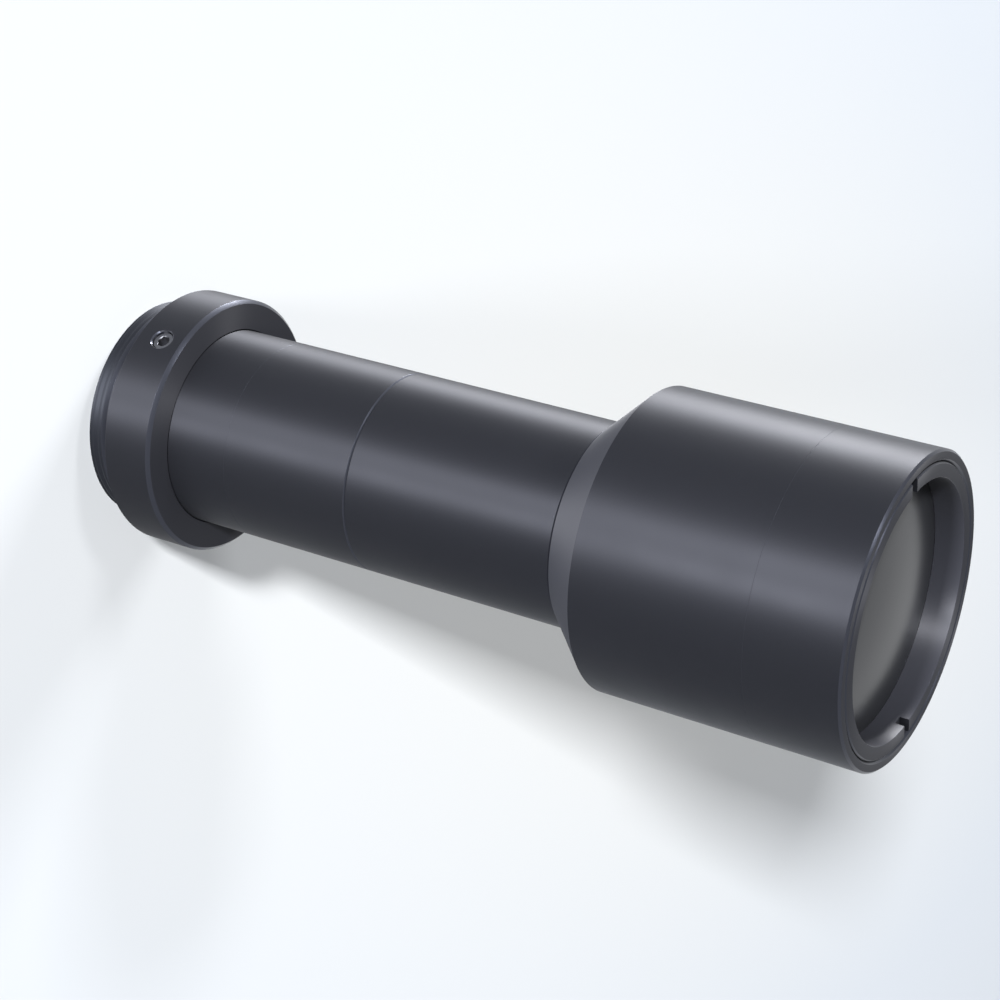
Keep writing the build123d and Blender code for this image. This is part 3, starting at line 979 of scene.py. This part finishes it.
def floor_paint():
    """A painted pool of light: white in a long oval on the floor, and pale blue round it."""
    made, tree, output = new_material("pale_studio_floor")
    place = add(tree, "ShaderNodeNewGeometry").outputs["Position"]
    angle = math.radians(OVAL_BEARING)
    middle = (OVAL_DISTANCE*MM*math.cos(angle), OVAL_DISTANCE*MM*math.sin(angle), thread_end*MM)
    oval = add(tree, "ShaderNodeMapping",
               {"vector_type": "TEXTURE", "Location": middle, "Rotation": (0, 0, angle),
                "Scale": (OVAL_STRETCH, 1, 1), "Vector": place})
    reach = add(tree, "ShaderNodeVectorMath", {"operation": "LENGTH", 0: oval.outputs[0]})
    spread = add(tree, "ShaderNodeMapRange",
                 {"From Min": OVAL_INNER*MM, "From Max": OVAL_OUTER*MM,
                  "Value": reach.outputs["Value"]})
    paint = add(tree, "ShaderNodeMix",
                {"data_type": "RGBA", SHARE: spread.outputs["Result"],
                 COLOUR_A: linear(LIGHT_POOL_WHITE), COLOUR_B: linear(FLOOR_BLUE)})
    surface = add(tree, "ShaderNodeBsdfDiffuse", {"Color": paint.outputs[COLOUR_OUT]})
    tree.links.new(surface.outputs["BSDF"], output.inputs["Surface"])
    return made


half = FLOOR_SIZE/2
floor_corners = [(x, y, thread_end*MM) for x, y in
                 ((-half, -half), (half, -half), (half, half), (-half, half))]
floor = mesh_object("studio_floor", floor_corners, [(0, 1, 2, 3)])
floor.data.materials.append(floor_paint())
print(f"floor {FLOOR_SIZE} m wide at {thread_end:.2f} mm")

# %% [markdown]
# Four soft boxes light the lens. An environment picture could light it as well, but lamps
# can be set one streak at a time. Two stand near the camera: the higher one casts the long
# shadow, and the low one draws the streak along the near side. A wide one round the side
# draws the broad light along the edge of each step, and a small high one catches the
# chamfers that face forward. A low lamp lights the satin metal much and the floor little.
# Each is placed by its bearing round the lens and its height above the horizon, both in
# degrees, and has its size in metres.

# %% Lamps
AIM = Vector((0, 0, 0.045))
LAMP_DISTANCE = 4.0


def softbox(name, azimuth, elevation, width, height, watts):
    """A rectangular lamp at this bearing and height, turned to the middle of the lens."""
    light = bpy.data.lights.new(name, "AREA")
    light.shape = "RECTANGLE"
    light.size = width
    light.size_y = height
    light.energy = watts
    lamp = bpy.data.objects.new(name, light)
    bpy.context.collection.objects.link(lamp)
    direction = bearing(azimuth, elevation)
    lamp.location = AIM+direction*LAMP_DISTANCE
    lamp.rotation_euler = (-direction).to_track_quat("-Z", "Y").to_euler()
    print(name, watts, "W")


softbox("near_softbox", azimuth=21, elevation=19, width=0.34, height=0.36, watts=360.0)
softbox("streak_softbox", azimuth=41, elevation=2.5, width=0.50, height=0.25, watts=310.0)
softbox("side_softbox", azimuth=-83, elevation=3.0, width=1.35, height=0.36, watts=480.0)
softbox("high_softbox", azimuth=-35, elevation=55, width=0.58, height=0.58, watts=26.0)

# %% [markdown]
# Round the floor lies a pale backdrop. A white wall would throw its own light on the object
# and wash out the shadows, so the world stands for it, and the kind of ray decides how
# bright it is: the camera, the gloss of the metal and the glass see its full white, and
# matt surfaces get only a little light from it.

# %% Sky
SKY_COLOUR = "#f8fafc"
SKY_SEEN, SKY_LIGHT = 1.0, 0.12
world = bpy.data.worlds.new("soft_studio")
world.use_nodes = True
sky_tree = world.node_tree
sky_tree.nodes.clear()
rays = add(sky_tree, "ShaderNodeLightPath").outputs
seen = add(sky_tree, "ShaderNodeMath",
           {"operation": "MAXIMUM", 0: rays["Is Camera Ray"], 1: rays["Is Glossy Ray"]})
seen = add(sky_tree, "ShaderNodeMath",
           {"operation": "MAXIMUM", 0: seen.outputs[0], 1: rays["Is Transmission Ray"]})
strength = add(sky_tree, "ShaderNodeMix",
               {"data_type": "FLOAT", SHARE: seen.outputs[0], NUMBER_A: SKY_LIGHT,
                NUMBER_B: SKY_SEEN})
sky = add(sky_tree, "ShaderNodeBackground",
          {"Color": linear(SKY_COLOUR), "Strength": strength.outputs[NUMBER_OUT]})
world_output = sky_tree.nodes.new("ShaderNodeOutputWorld")
sky_tree.links.new(sky.outputs["Background"], world_output.inputs["Surface"])
bpy.context.scene.world = world
print("sky", world.name, len(sky_tree.nodes), "nodes")

# %% [markdown]
# Last, the scene is brought up to date. The dressed lens has to keep to the frame's size.

# %% Finish
bpy.context.view_layer.update()
